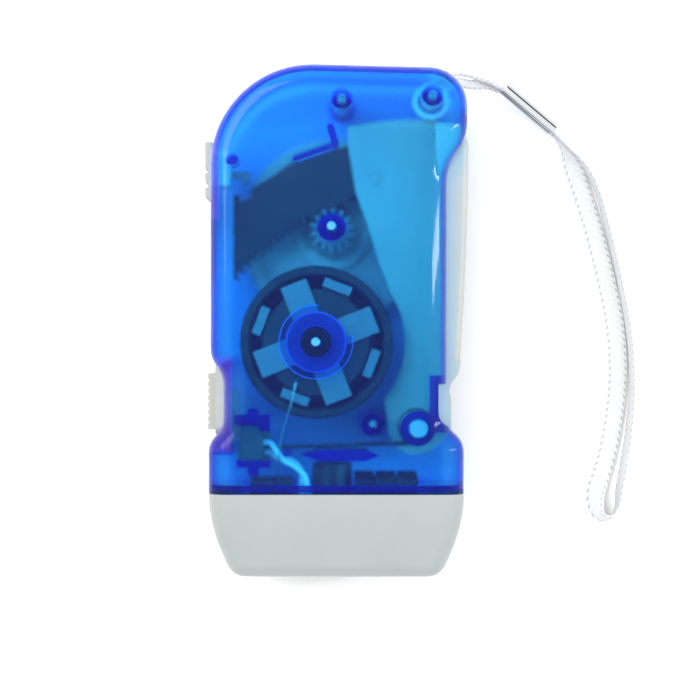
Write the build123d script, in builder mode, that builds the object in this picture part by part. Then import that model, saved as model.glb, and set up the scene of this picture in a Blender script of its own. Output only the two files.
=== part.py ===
"""Hand press dynamo torch with a see-through case, lying on its back. Millimetres.

+X is the lever side, +Y the strap end, -Y the lamp end, +Z the front face of the case.
"""

import os
from math import acos, cos, degrees, pi, radians, sin, tan

from build123d import *

os.makedirs("parts", exist_ok=True)

# ---- driving dimensions -------------------------------------------------------------------

case_depth = 30.0
parting_z = case_depth / 2
wall = 1.8
face_round = 4.0
joint_y = -35.6
lens_y = -53.0
front_inside = case_depth - wall
hidden = 0.1

case_left = -26.0
case_right = 22.7
case_top = 53.0
collar_left = -26.4
collar_right = 26.3
recess_floor = -23.3

lever_pivot = Vector(16.8, -22.2)
rack_teeth = 165
pinion_teeth = 14
rack_module = 0.6
gear_distance = rack_module * (rack_teeth - pinion_teeth) / 2
gear_bearing = 113.17
gear_teeth = 80
spur_teeth = 16
spur_module = 0.5
flywheel_distance = spur_module * (gear_teeth + spur_teeth) / 2
flywheel_bearing = 262.3


def polar(centre, radius, angle):
    """The point at this radius and angle, in degrees, about a centre."""
    return Vector(
        centre.X + radius * cos(radians(angle)), centre.Y + radius * sin(radians(angle))
    )


gear_centre = polar(lever_pivot, gear_distance, gear_bearing)
flywheel_centre = polar(gear_centre, flywheel_distance, flywheel_bearing)
upper_screw = Vector(1.1, 45.7)
lower_screw = Vector(7.5, -21.4)
strap_post = Vector(19.8, 46.4)
locating_pin = Vector(-21.5, 33.3)

gear_z = (3.2, 5.7)
rack_z = (8.5, 12.5)
flywheel_z = (8.5, 20.0)
grip_z = (7.2, 22.8)
slot_z = (6.5, 23.5)

axle_r = 1.0
lever_pin_r = 2.0
running_gap = 0.04
snug_gap = 0.02


def save(part, name):
    """Label a finished piece and write it."""
    part.label = name
    export_step(part, f"parts/{name}.step")


def disc(centre, radius, low, high, mode=Mode.ADD):
    """A round boss, or with Mode.SUBTRACT a round hole, between two heights."""
    with BuildSketch(Plane.XY.offset(low)) as face:
        with Locations(centre):
            Circle(radius)
    extrude(face.sketch, amount=high - low, mode=mode)


def ring(centre, outer, inner, low, high, mode=Mode.ADD):
    """A round sleeve between two heights."""
    with BuildSketch(Plane.XY.offset(low)) as face:
        with Locations(centre):
            Circle(outer)
            Circle(inner, mode=Mode.SUBTRACT)
    extrude(face.sketch, amount=high - low, mode=mode)


def block(x, y, z, mode=Mode.ADD):
    """A box given by its two ends along each axis."""
    with BuildSketch(Plane.XY.offset(z[0])) as face:
        with Locations(((x[0] + x[1]) / 2, (y[0] + y[1]) / 2)):
            Rectangle(x[1] - x[0], y[1] - y[0])
    extrude(face.sketch, amount=z[1] - z[0], mode=mode)


def side_step(start, end):
    """Two equal arcs that leave and arrive along Y, as the side of the case steps in or out."""
    middle = (Vector(*start) + Vector(*end)) / 2
    heading = 1 if end[1] > start[1] else -1
    TangentArc(start, middle, tangent=(0, heading))
    TangentArc(end, middle, tangent=(0, -heading))


# ---- case: one hollow body, split at mid depth into a front and a back shell ----------------

corner_r = 21.0
post_corner_r = 8.0
top_right_y = 52.4
bulge_x = 27.0
bulge_y = (41.0, 28.5)
hook_y = (-19.5, -27.0)
recess_y = (-27.2, -20.0, -13.2, -5.6)


def case_outline():
    """The face of the case, seen from the front, from the lamp joint round to it again."""
    with BuildLine() as outline:
        Line((collar_left, joint_y), (collar_left, recess_y[0]))
        side_step((collar_left, recess_y[0]), (recess_floor, recess_y[1]))
        Line((recess_floor, recess_y[1]), (recess_floor, recess_y[2]))
        side_step((recess_floor, recess_y[2]), (case_left, recess_y[3]))
        Line((case_left, recess_y[3]), (case_left, case_top - corner_r))
        corner_end = (case_left + corner_r, case_top)
        TangentArc((case_left, case_top - corner_r), corner_end, tangent=(0, 1))
        post_start = (bulge_x - post_corner_r, top_right_y)
        Line(corner_end, post_start)
        post_end = (bulge_x, top_right_y - post_corner_r)
        TangentArc(post_end, post_start, tangent=(0, 1))
        Line(post_end, (bulge_x, bulge_y[0]))
        side_step((bulge_x, bulge_y[0]), (case_right, bulge_y[1]))
        Line((case_right, bulge_y[1]), (case_right, hook_y[0]))
        side_step((case_right, hook_y[0]), (collar_right, hook_y[1]))
        Line((collar_right, hook_y[1]), (collar_right, joint_y))
        Line((collar_right, joint_y), (collar_left, joint_y))
    make_face(outline.edges())


def off_the_joint(part):
    """The edges round the flat front and back of the case, but not along the lamp joint."""
    rims = part.faces().filter_by(Plane.XY).edges()
    return rims.filter_by(lambda edge: edge.center().Y > joint_y + 2 * wall)


notch_x = 20.9
notch_y = (-21.8, -13.0)
notch_r = 3.0
sweep_clear = 65.7
knuckle_clear = 7.8


def knuckle_notch(grow, mode=Mode.ADD):
    """The nick in the right side of the case that bares the lever's knuckle."""
    low = notch_y[0] - grow
    left = notch_x - grow
    with BuildLine() as outline:
        Line((left, notch_y[1] + grow), (left, low + notch_r))
        TangentArc((left, low + notch_r), (left + notch_r, low), tangent=(0, -1))
        Line((left + notch_r, low), (30, low))
        Line((30, low), (30, notch_y[1] + grow))
        Line((30, notch_y[1] + grow), (left, notch_y[1] + grow))
    make_face(outline.edges(), mode=mode)


with BuildPart() as cavity:
    with BuildSketch(Plane.XY.offset(wall)):
        case_outline()
        offset(amount=-wall, kind=Kind.ARC)
        with Locations((-26, -17.9)):
            Rectangle(9, 19.6, mode=Mode.SUBTRACT)
        knuckle_notch(wall, Mode.SUBTRACT)
    extrude(amount=case_depth - 2 * wall)
    fillet(off_the_joint(cavity), face_round - wall)

strap_hole = Vector(23.1, 51.4)
strap_bearing = 57.0

with BuildPart() as case_body:
    with BuildSketch(Plane.XY):
        case_outline()
    extrude(amount=case_depth)
    fillet(off_the_joint(case_body), face_round)
    add(cavity.part, mode=Mode.SUBTRACT)
    with BuildSketch(Plane.XY):
        knuckle_notch(0)
    extrude(amount=case_depth, mode=Mode.SUBTRACT)
    # the slot in the right side that the lever swings through
    with BuildSketch(Plane.XY.offset(slot_z[0])):
        with Locations((24.8, 12)):
            Rectangle(11.6, 70)
        with Locations(lever_pivot):
            Circle(sweep_clear, mode=Mode.INTERSECT)
            Circle(knuckle_clear)
    extrude(amount=slot_z[1] - slot_z[0], mode=Mode.SUBTRACT)
    # the window in the lamp end for the cells and the capacitor
    with BuildSketch(Plane.XZ.offset(-joint_y)):
        with Locations((-0.5, parting_z)):
            Rectangle(38, 14)
    extrude(amount=-2 * wall, mode=Mode.SUBTRACT)
    # slots for the lock stem and the switch stem, and the strap hole
    block((-27, -20), (28.0, 34.3), (parting_z - 1.8, parting_z + 1.8), Mode.SUBTRACT)
    block((-24, -21), (-19.4, -12.8), (parting_z - 2, parting_z + 2), Mode.SUBTRACT)
    strap_plane = Plane(
        origin=(strap_hole.X, strap_hole.Y, parting_z),
        x_dir=(-sin(radians(strap_bearing)), cos(radians(strap_bearing)), 0),
        z_dir=(cos(radians(strap_bearing)), sin(radians(strap_bearing)), 0),
    )
    with BuildSketch(strap_plane):
        RectangleRounded(4.2, 2.2, 0.8)
    extrude(amount=3, both=True, mode=Mode.SUBTRACT)

screw_places = [upper_screw, lower_screw, strap_post]
screw_boss_r = [2.25, 2.4, 2.3]
screw_head_z = 3.0
screw_top = 25.0
screw_r = 1.0

rim_low = 25.2
rim_break = (10, 47, 85)
rack_rib = 1.6

with BuildPart() as front_shell:
    add(case_body.part)
    split(bisect_by=Plane.XY.offset(parting_z), keep=Keep.TOP)
    wall_in = front_inside + hidden
    for place, boss_r in zip(screw_places, screw_boss_r):
        ring(place, boss_r, screw_r - 0.05, parting_z, wall_in)
    # gear axle boss, lever pivot ring and the stepped generator hub
    disc(gear_centre, 3.06, 15.5, wall_in)
    disc(gear_centre, axle_r + snug_gap, 15.5, 28.9, Mode.SUBTRACT)
    ring(lever_pivot, 3.69, lever_pin_r + snug_gap, 24.0, wall_in)
    ring(flywheel_centre, 7.7, 6.2, rim_low, wall_in)
    with BuildSketch(Plane.XY.offset(rim_low)):
        with BuildLine():
            Polyline(
                flywheel_centre, *(polar(flywheel_centre, 11, angle) for angle in rim_break),
                flywheel_centre,
            )
        make_face()
    extrude(amount=front_inside - rim_low, mode=Mode.SUBTRACT)
    ring(flywheel_centre, 6.28, 3.22, 22.2, wall_in)
    disc(flywheel_centre, axle_r + snug_gap, front_inside, 28.9, Mode.SUBTRACT)
    # pin and bent rib that guide the rack, cross rib over the electronics
    disc(locating_pin, 1.35, 20.0, wall_in)
    with BuildSketch(Plane.XY.offset(21.5)):
        with Locations((-4.35, 35.05)):
            SlotCenterToCenter(8.6, rack_rib, rotation=19.3)
        with Locations((-0.75, 38.4)):
            SlotCenterToCenter(3.8, rack_rib, rotation=106)
    extrude(amount=wall_in - 21.5)
    with BuildSketch(Plane.XY.offset(20.5)):
        with BuildLine():
            Line((-8.0, -27.6), (-3.6, -26.5))
            Line((-3.6, -26.5), (6.0, -26.5))
            Line((6.0, -26.5), (9.1, -27.9))
            Line((9.1, -27.9), (6.0, -29.1))
            Line((6.0, -29.1), (-3.6, -29.1))
            Line((-3.6, -29.1), (-8.0, -27.6))
        make_face()
    extrude(amount=wall_in - 20.5)
    # two shaped ribs that clamp the slide switch
    with BuildSketch(Plane.XY.offset(20.3)):
        with Locations((-17.2, -20.5)):
            Rectangle(7.2, 2.4)
        with Locations((-17.2, -19.2)):
            RectangleRounded(2.6, 2.4, 0.9)
        with Locations((-14.9, -21.6)):
            Rectangle(2.6, 2.6)
        with Locations((-17.2, -29.6)):
            Rectangle(7.2, 1.7)
        with Locations((-17.2, -31.1)):
            RectangleRounded(2.6, 2.2, 0.9)
    extrude(amount=wall_in - 20.3)

spring_stop = Vector(-10.5, -28.15)
board_peg_x = 20.8
board_peg_long = 4.05
switch_board_z = (9.0, 10.2)

with BuildPart() as back_shell:
    add(case_body.part)
    split(bisect_by=Plane.XY.offset(parting_z), keep=Keep.BOTTOM)
    wall_in = wall - hidden
    for place, boss_r in zip(screw_places, screw_boss_r):
        disc(place, boss_r + 0.7, wall_in, 9.0)
        disc(place, boss_r, 9.0, parting_z)
        disc(place, screw_r + 0.2, 0, parting_z, Mode.SUBTRACT)
        disc(place, 2.2, 0, screw_head_z, Mode.SUBTRACT)
    # sockets for the two axles and the lever pin
    disc(gear_centre, 3.0, wall_in, gear_z[0] - 0.3)
    disc(gear_centre, axle_r + snug_gap, 0.9, 5.0, Mode.SUBTRACT)
    disc(flywheel_centre, 3.0, wall_in, gear_z[0] - 0.3)
    disc(flywheel_centre, axle_r + snug_gap, 0.9, 5.0, Mode.SUBTRACT)
    disc(lever_pivot, 3.69, wall_in, 6.5)
    disc(lever_pivot, lever_pin_r + snug_gap, 0.9, 7.0, Mode.SUBTRACT)
    # post behind the spring's long leg, posts under the switch board, pegs behind the lamp board
    disc(spring_stop, 1.0, wall_in, 14.9)
    for y in (-23.2, -28.0):
        disc(Vector(-18.0, y), 1.4, wall_in, switch_board_z[0])
    for x in (-board_peg_x, board_peg_x):
        with BuildSketch(Plane.XZ.offset(-joint_y - hidden)):
            with Locations((x, 11.0)):
                Circle(1.4)
        extrude(amount=board_peg_long + hidden)

save(front_shell.part, "front_shell")
save(back_shell.part, "back_shell")

# ---- lamp head ----------------------------------------------------------------------------

head_wall = 2.0
head_half = 26.3
head_shoulder = (22.9, -49.9)
head_nose = 18.6
head_rise = 2.8


def head_plan(inset, mouth):
    """Plan of the head, drawn this far inside the outer face, from the joint to the lens."""
    half = head_half - inset
    shoulder = (head_shoulder[0] - inset, head_shoulder[1] + inset / 2)
    nose = (head_nose - inset / 2, lens_y + inset)
    for side in (1, -1):
        Spline(
            (side * half, joint_y), (side * shoulder[0], shoulder[1]),
            tangents=((0, -1), (-side * 0.42, -1)),
        )
        Line((side * half, mouth), (side * half, joint_y))
        Spline(
            (side * shoulder[0], shoulder[1]), (side * nose[0], nose[1]),
            tangents=((-side * 0.42, -1), (-side, 0)),
        )
    Line((nose[0], nose[1]), (-nose[0], nose[1]))
    Line((half, mouth), (-half, mouth))


def head_profile(inset, mouth):
    """Side view of the head: it thins towards the lens."""
    top = case_depth - inset
    bottom = inset
    nose = lens_y + inset
    Line((mouth, bottom), (mouth, top))
    Line((mouth, top), (joint_y, top))
    Spline((joint_y, top), (nose, top - head_rise), tangents=((-1, 0), (-1, -0.28)))
    Line((nose, top - head_rise), (nose, bottom + head_rise))
    Spline((joint_y, bottom), (nose, bottom + head_rise), tangents=((-1, 0), (-1, 0.28)))
    Line((mouth, bottom), (joint_y, bottom))


with BuildPart() as head_cavity:
    with BuildSketch(Plane.XY):
        with BuildLine():
            head_plan(head_wall, joint_y + 1)
        make_face()
    extrude(amount=case_depth)
    with BuildSketch(Plane.YZ):
        with BuildLine():
            head_profile(head_wall, joint_y + 1)
        make_face()
    extrude(amount=30, both=True, mode=Mode.INTERSECT)

lamp_width = 41.0
lamp_height = 18.0
mouth_width = 33.0
lens_width = 34.6

with BuildPart() as head_cap:
    with BuildSketch(Plane.XY):
        with BuildLine():
            head_plan(0, joint_y + 1)
        make_face()
    extrude(amount=case_depth)
    with BuildSketch(Plane.YZ):
        with BuildLine():
            head_profile(0, joint_y + 1)
        make_face()
    extrude(amount=30, both=True, mode=Mode.INTERSECT)
    long_edges = head_cap.edges().filter_by(
        lambda edge: abs(edge.center().Z - parting_z) > 10
        and abs(edge.center().X) > 15 and edge.center().Y < joint_y + 1.5
        and edge.length > 0.5 and abs(edge.tangent_at(0.5).Z) < 0.9
        and abs(edge.tangent_at(0.5).X) < 0.95
    )
    fillet(long_edges, face_round)
    with BuildSketch(Plane.XZ.offset(-joint_y)):
        Rectangle(80, 80)
    extrude(amount=-5, mode=Mode.SUBTRACT)
    add(head_cavity.part, mode=Mode.SUBTRACT)
    with BuildSketch(Plane.XZ.offset(-lens_y + 1)):
        with Locations((0, parting_z)):
            RectangleRounded(mouth_width, lamp_height - 2, 5)
    extrude(amount=-5, mode=Mode.SUBTRACT)
save(head_cap.part, "head_cap")

lens_in = lens_y + head_wall
lens_thick = 1.5
reflector_deep = 8.6
led_pitch = 11.6
led_places = (-led_pitch, 0, led_pitch)
board_front = lens_in + lens_thick + reflector_deep

with BuildPart() as lens:
    with BuildSketch(Plane.XZ.offset(-lens_in)):
        with Locations((0, parting_z)):
            RectangleRounded(lens_width, lamp_height, 6)
    extrude(amount=-lens_thick)
save(lens.part, "lens")

cup_r = 5.5
cup_neck = 2.7
cup_skin = 0.8


def cup(x, grow):
    """A lamp cup turned about its own axis: wide at the lens, narrow round the LED."""
    mouth = lens_in + lens_thick
    plane = Plane(origin=(x, 0, parting_z), x_dir=(1, 0, 0), z_dir=(0, 0, 1))
    with BuildSketch(plane) as face:
        with BuildLine() as outline:
            Line((0, mouth), (cup_r + grow, mouth))
            ThreePointArc(
                (cup_r + grow, mouth), (cup_r + grow - 1.1, mouth + reflector_deep * 0.55),
                (cup_neck + grow, mouth + reflector_deep),
            )
            Line((cup_neck + grow, mouth + reflector_deep), (0, mouth + reflector_deep))
            Line((0, mouth + reflector_deep), (0, mouth))
        make_face(outline.edges())
    axis = Axis((x, 0, parting_z), (0, 1, 0))
    revolve(face.sketch, axis=axis, mode=Mode.ADD if grow else Mode.SUBTRACT)


with BuildPart() as reflector:
    with BuildSketch(Plane.XZ.offset(-lens_in - lens_thick)):
        with Locations((0, parting_z)):
            RectangleRounded(lamp_width, lamp_height, 6)
    extrude(amount=-1.0)
    for place in led_places:
        cup(place, cup_skin)
    for place in led_places:
        cup(place, 0)
save(reflector.part, "reflector")

led_r = 2.5
led_long = 5.2

with BuildPart() as leds:
    for place in led_places:
        with BuildSketch(Plane(origin=(place, 0, parting_z), x_dir=(1, 0, 0), z_dir=(0, 0, 1))):
            with BuildLine():
                base = board_front
                Line((0, base), (led_r, base))
                Line((led_r, base), (led_r, base - led_long))
                TangentArc((led_r, base - led_long), (0, base - led_long - led_r), tangent=(0, -1))
                Line((0, base - led_long - led_r), (0, base))
            make_face()
        revolve(axis=Axis((place, 0, parting_z), (0, 1, 0)))
save(leds.part, "leds")

board_thick = 1.2
board_back = board_front + board_thick

with BuildPart() as lamp_board:
    with BuildSketch(Plane.XZ.offset(-board_front)):
        with Locations((0, parting_z)):
            RectangleRounded(45, 19, 3)
    extrude(amount=-board_thick)
save(lamp_board.part, "lamp_board")

capacitor_r = 4.2
capacitor_top = -29.6
capacitor_x = -1.0
with BuildPart() as capacitor:
    with BuildSketch(Plane.XZ.offset(-board_back)):
        with Locations((capacitor_x, parting_z)):
            Circle(capacitor_r)
    extrude(amount=board_back - capacitor_top)
    fillet(capacitor.edges().sort_by(Axis.Y)[-1], 0.6)
    with BuildSketch(Plane.XZ.offset(-capacitor_top - 1.4)):
        with Locations((capacitor_x, parting_z)):
            Circle(capacitor_r + 1)
            Circle(capacitor_r - 0.4, mode=Mode.SUBTRACT)
    extrude(amount=0.5, mode=Mode.SUBTRACT)
save(capacitor.part, "capacitor")

cell_r = 4.1
cell_long = 4.4
cell_start = 3.7
cell_y = board_back + cell_r + snug_gap
with BuildPart() as button_cells:
    for i in range(3):
        start = cell_start + i * (cell_long + 0.1)
        with BuildSketch(Plane.YZ.offset(start)):
            with Locations((cell_y, parting_z)):
                Circle(cell_r)
        extrude(amount=cell_long - 0.4)
        with BuildSketch(Plane.YZ.offset(start + cell_long - 0.4)):
            with Locations((cell_y, parting_z)):
                Circle(cell_r - 0.9)
        extrude(amount=0.4)
save(button_cells.part, "button_cells")

with BuildPart() as rectifier:
    block((-18.1, -9.3), (board_back, -32.8), (11.4, 18.6))
    chamfer(rectifier.edges().filter_by(Axis.X).sort_by(Axis.Y)[-2:], 0.6)
save(rectifier.part, "rectifier")

# ---- gears --------------------------------------------------------------------------------

pressure = radians(20)
slack = 0.07


def involute(ratio):
    """Involute of the angle whose cosine is base radius over radius."""
    turn = acos(min(1.0, ratio))
    return tan(turn) - turn


def flank(teeth, module, radius, inside):
    """Half the angle, in degrees, that a tooth fills at this radius."""
    pitch = teeth * module / 2
    base = pitch * cos(pressure)
    half = pi / (2 * teeth) - slack / pitch
    growth = involute(cos(pressure)) - involute(base / max(radius, base))
    return degrees(half - growth if inside else half + growth)


def toothed(centre, teeth, module, first, inside=False, count=None):
    """Face of a gear with a tooth at the first bearing, or of the bore of an inside gear."""
    pitch = teeth * module / 2
    tip = pitch - 0.9 * module if inside else pitch + 0.9 * module
    root = pitch + 1.15 * module if inside else pitch - 1.15 * module
    step = 360 / teeth
    count = count or teeth
    with BuildLine() as outline:
        for i in range(count):
            at = first + i * step
            low = polar(centre, root, at - flank(teeth, module, root, inside))
            mid = polar(centre, pitch, at - flank(teeth, module, pitch, inside))
            top = polar(centre, tip, at - flank(teeth, module, tip, inside))
            end_top = polar(centre, tip, at + flank(teeth, module, tip, inside))
            end_mid = polar(centre, pitch, at + flank(teeth, module, pitch, inside))
            end_low = polar(centre, root, at + flank(teeth, module, root, inside))
            ThreePointArc(low, mid, top)
            Line(top, end_top)
            ThreePointArc(end_top, end_mid, end_low)
            if count == teeth or i < count - 1:
                following = polar(centre, root, at + step - flank(teeth, module, root, inside))
                Line(end_low, following)
        if count < teeth:
            first_low = polar(centre, root, first - flank(teeth, module, root, inside))
            Line(end_low, polar(centre, root + 30, first + (count - 1) * step + 4))
            Line(
                polar(centre, root + 30, first + (count - 1) * step + 4),
                polar(centre, root + 30, first - 40),
            )
            Line(polar(centre, root + 30, first - 40), first_low)
    make_face(outline.edges())


recess_r = (8.2, 17.4)
ratchet_r = 6.0
with BuildPart() as drive_gear:
    with BuildSketch(Plane.XY.offset(gear_z[0])):
        toothed(gear_centre, gear_teeth, spur_module, flywheel_bearing)
    extrude(amount=gear_z[1] - gear_z[0])
    ring(gear_centre, recess_r[1], recess_r[0], gear_z[1] - 1.3, gear_z[1], Mode.SUBTRACT)
    # ratchet recess that the clutch pawls catch in
    with BuildSketch(Plane.XY.offset(gear_z[1] - 1.2)):
        with Locations(gear_centre):
            Circle(ratchet_r)
        with BuildLine():
            for i in range(12):
                Line(polar(gear_centre, ratchet_r - 0.1, 30 * i),
                     polar(gear_centre, ratchet_r + 0.8, 30 * i))
                Line(polar(gear_centre, ratchet_r + 0.8, 30 * i),
                     polar(gear_centre, ratchet_r - 0.1, 30 * i + 30))
        make_face()
    extrude(amount=1.2, mode=Mode.SUBTRACT)
    disc(gear_centre, axle_r + running_gap, 0, 10, Mode.SUBTRACT)
save(drive_gear.part, "drive_gear")

with BuildPart() as clutch_pawls:
    ring(gear_centre, 2.9, 1.6, gear_z[1] - 1.1, gear_z[1] - 0.2)
    with BuildSketch(Plane.XY.offset(gear_z[1] - 1.1)):
        for i in range(2):
            with BuildLine():
                ThreePointArc(
                    polar(gear_centre, 2.5, 180 * i), polar(gear_centre, 4.9, 180 * i + 60),
                    polar(gear_centre, 5.5, 180 * i + 112),
                )
            trace(line_width=0.7)
    extrude(amount=0.9)
save(clutch_pawls.part, "clutch_pawls")

pinion_foot = gear_z[1] - 0.2
with BuildPart() as drive_pinion:
    disc(gear_centre, 3.0, pinion_foot, 8.2)
    disc(gear_centre, 1.6, gear_z[1] - 1.1, pinion_foot)
    with BuildSketch(Plane.XY.offset(8.2)):
        toothed(gear_centre, pinion_teeth, rack_module, gear_bearing)
    extrude(amount=4.6)
    disc(gear_centre, 2.2, 12.8, 15.2)
    disc(gear_centre, axle_r + running_gap, 0, 20, Mode.SUBTRACT)
save(drive_pinion.part, "drive_pinion")

with BuildPart() as flywheel_pinion:
    with BuildSketch(Plane.XY.offset(gear_z[0])):
        half_tooth = 180 / spur_teeth
        toothed(flywheel_centre, spur_teeth, spur_module, flywheel_bearing + 180 + half_tooth)
    extrude(amount=3.0)
    disc(flywheel_centre, 2.6, gear_z[0] + 3.0, flywheel_z[0])
    disc(flywheel_centre, axle_r + running_gap, 0, 10, Mode.SUBTRACT)
save(flywheel_pinion.part, "flywheel_pinion")

# ---- generator: ring magnet flywheel round a claw pole coil ----------------------------------

magnet_r = (16.0, 13.9)
cup_floor = flywheel_z[0] + 1.5
with BuildPart() as flywheel_hub:
    disc(flywheel_centre, magnet_r[0], flywheel_z[0], cup_floor)
    for i in range(6):
        disc(polar(flywheel_centre, 9.2, 60 * i), 2.4, 0, 20, Mode.SUBTRACT)
    disc(flywheel_centre, axle_r + running_gap, 0, 20, Mode.SUBTRACT)
save(flywheel_hub.part, "flywheel_hub")

with BuildPart() as ring_magnet:
    ring(flywheel_centre, magnet_r[0], magnet_r[1], cup_floor, flywheel_z[1])
    chamfer(ring_magnet.edges().group_by(Axis.Z)[-1], 0.4)
save(ring_magnet.part, "ring_magnet")

core_r = 3.2
claw_r = 13.1
claw_thick = 1.1
claw_wide = 5.7
tip_r = 13.3
tip_thick = 1.9
tip_wide = 6.0
claw_turn = 21.5
front_plate_z = (21.0, 22.1)
back_plate_z = (10.8, 11.9)
tip_turn = claw_turn + 47.5

with BuildPart() as stator_core:
    ring(flywheel_centre, core_r, 1.35, back_plate_z[0], 24.0)
save(stator_core.part, "stator_core")


def claws(plate_z, turn, reach, out_r, thick, wide):
    """A round pole plate with four arms, each bent along the axle at its end."""
    disc(flywheel_centre, 6.4, plate_z[0], plate_z[1])
    for i in range(4):
        angle = turn + 90 * i
        middle = polar(flywheel_centre, out_r / 2, angle)
        with BuildSketch(Plane.XY.offset(plate_z[0])) as arm:
            with Locations(middle):
                Rectangle(out_r, wide, rotation=angle)
        extrude(arm.sketch, amount=plate_z[1] - plate_z[0])
        with BuildSketch(Plane.XY.offset(reach[0])) as finger:
            with Locations(polar(flywheel_centre, out_r - thick / 2, angle)):
                Rectangle(thick, wide, rotation=angle)
        extrude(finger.sketch, amount=reach[1] - reach[0])
    disc(flywheel_centre, core_r + snug_gap, 0, 30, Mode.SUBTRACT)


with BuildPart() as claw_plate_front:
    claws(front_plate_z, claw_turn, (12.6, front_plate_z[1]), claw_r, claw_thick, claw_wide)
save(claw_plate_front.part, "claw_plate_front")

with BuildPart() as claw_plate_back:
    claws(back_plate_z, tip_turn, (back_plate_z[0], 21.4), tip_r, tip_thick, tip_wide)
save(claw_plate_back.part, "claw_plate_back")

bobbin_r = 11.0
with BuildPart() as coil_bobbin:
    ring(flywheel_centre, 4.4, core_r + snug_gap, back_plate_z[1], front_plate_z[0])
    ring(flywheel_centre, bobbin_r, core_r + snug_gap, back_plate_z[1], back_plate_z[1] + 0.8)
    ring(flywheel_centre, bobbin_r, core_r + snug_gap, front_plate_z[0] - 0.8, front_plate_z[0])
save(coil_bobbin.part, "coil_bobbin")

with BuildPart() as coil_winding:
    ring(flywheel_centre, bobbin_r - 0.7, 4.4, back_plate_z[1] + 0.8, front_plate_z[0] - 0.8)
save(coil_winding.part, "coil_winding")

with BuildPart() as flywheel_axle:
    disc(flywheel_centre, axle_r, 1.0, 28.8)
    chamfer(flywheel_axle.edges().group_by(Axis.Z)[-1], 0.2)
save(flywheel_axle.part, "flywheel_axle")

with BuildPart() as gear_axle:
    disc(gear_centre, axle_r, 1.0, 28.8)
    chamfer(gear_axle.edges().group_by(Axis.Z)[-1], 0.2)
save(gear_axle.part, "gear_axle")

with BuildPart() as lever_pin:
    disc(lever_pivot, lever_pin_r, 1.0, 28.1)
    chamfer(lever_pin.edges().group_by(Axis.Z)[-1], 0.3)
save(lever_pin.part, "lever_pin")

# ---- squeeze lever and its rack ----------------------------------------------------------------

hub_r = 6.0
hub_z = (6.8, 12.8)
sleeve_r = 2.8
sleeve_top = 23.3
web_clear = 18.8
web_top_r = 65.2
rack_back_r = 61.3
butt_line = ((4.1, 27.2), (2.6, 36.0))


def web_face():
    """The flat web of the lever, hollowed on the left round the flywheel."""
    hollow = [polar(flywheel_centre, web_clear, angle) for angle in (-40, -4, 33)]
    top_left = polar(lever_pivot, web_top_r, 102.9)
    top_mid = polar(lever_pivot, web_top_r, 93)
    top_right = polar(lever_pivot, web_top_r, 85.5)
    with BuildLine() as outline:
        Line((10.9, -21.5), hollow[0])
        ThreePointArc(*hollow)
        Polyline(hollow[2], (8.9, 12.9), (6.5, 20.7), butt_line[0], butt_line[1], top_left)
        ThreePointArc(top_left, top_mid, top_right)
        Polyline(top_right, (22.0, 30.0), (22.0, -21.5), (10.9, -21.5))
    make_face(outline.edges())


knuckle_top = -8.0
grip_right = 27.62
grip_shoulder = 36.2
grip_top = 41.4


def knuckle_face(inset):
    """The narrow lower end of the grip, next to the pin."""
    with BuildLine() as outline:
        Line((20.6, -22.4 + inset), (23.9 - inset, -22.4 + inset))
        Line((23.9 - inset, -22.4 + inset), (23.9 - inset, -16.6))
        Spline(
            (23.9 - inset, -16.6), (23.5 - inset, -14.8), (24.1 - inset, -12.6),
            (25.85 - inset, knuckle_top),
            tangents=((0, 1), (0.06, 1)),
        )
        Line((25.85 - inset, knuckle_top), (20.6, knuckle_top))
        Line((20.6, knuckle_top), (20.6, -22.4 + inset))
    make_face(outline.edges())


def grip_face(inset):
    """The slightly bowed grip, rounded at its top corner."""
    top = grip_top - inset
    shoulder = (grip_right - inset, grip_shoulder)
    corner = (shoulder[0] - (top - grip_shoulder), top)
    with BuildLine() as outline:
        ThreePointArc((25.85 - inset, knuckle_top), (26.98 - inset, 12), shoulder)
        TangentArc(shoulder, corner, tangent=(0.02, 1))
        Line(corner, (20.6, top))
        Line((20.6, top), (20.6, knuckle_top))
        Line((20.6, knuckle_top), (25.85 - inset, knuckle_top))
    make_face(outline.edges())


def lap_face(grow):
    """Where the rack's tongue lies under the web, right of the line where they butt."""
    with BuildLine() as outline:
        Polyline(
            (3.0, 33.0 + grow), (9.4 + grow, 34.4 + grow), (10.4 + grow, 29.4 - grow),
            (3.7, 28.0 - grow), (3.0, 33.0 + grow),
        )
    make_face(outline.edges())


rivet_places = [Vector(7.3, 32.4), Vector(8.0, 30.4)]

with BuildPart() as lever:
    with BuildSketch(Plane.XY.offset(grip_z[0])):
        grip_face(0)
    extrude(amount=grip_z[1] - grip_z[0])
    grip_edges = lever.edges().filter_by(
        lambda edge: abs(abs(edge.center().Z - parting_z) - 7.8) < 0.01 and edge.center().X > 24
    )
    fillet(grip_edges, 1.4)
    with BuildSketch(Plane.XY.offset(grip_z[0])):
        knuckle_face(0)
    extrude(amount=grip_z[1] - grip_z[0])
    with BuildSketch(Plane.XY.offset(rack_z[0])):
        web_face()
    extrude(amount=rack_z[1] - rack_z[0])
    with BuildSketch(Plane.XY.offset(rack_z[1])):
        knuckle_face(2.0)
        grip_face(2.0)
    extrude(amount=grip_z[1] - rack_z[1] - 1.8, mode=Mode.SUBTRACT)
    disc(lever_pivot, hub_r, hub_z[0], hub_z[1])
    disc(lever_pivot, sleeve_r, hub_z[1], sleeve_top)
    # clear the front and back collars of the case round the pin, and make room for the spring
    ring(lever_pivot, 4.6, sleeve_r, hub_z[1], sleeve_top, Mode.SUBTRACT)
    disc(lever_pivot, lever_pin_r + running_gap, 0, 30, Mode.SUBTRACT)
    with BuildSketch(Plane.XY.offset(rack_z[0])):
        lap_face(0.05)
    extrude(amount=2.0, mode=Mode.SUBTRACT)
    for place in rivet_places:
        disc(place, 0.85, 0, 20, Mode.SUBTRACT)
save(lever.part, "lever")

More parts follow.
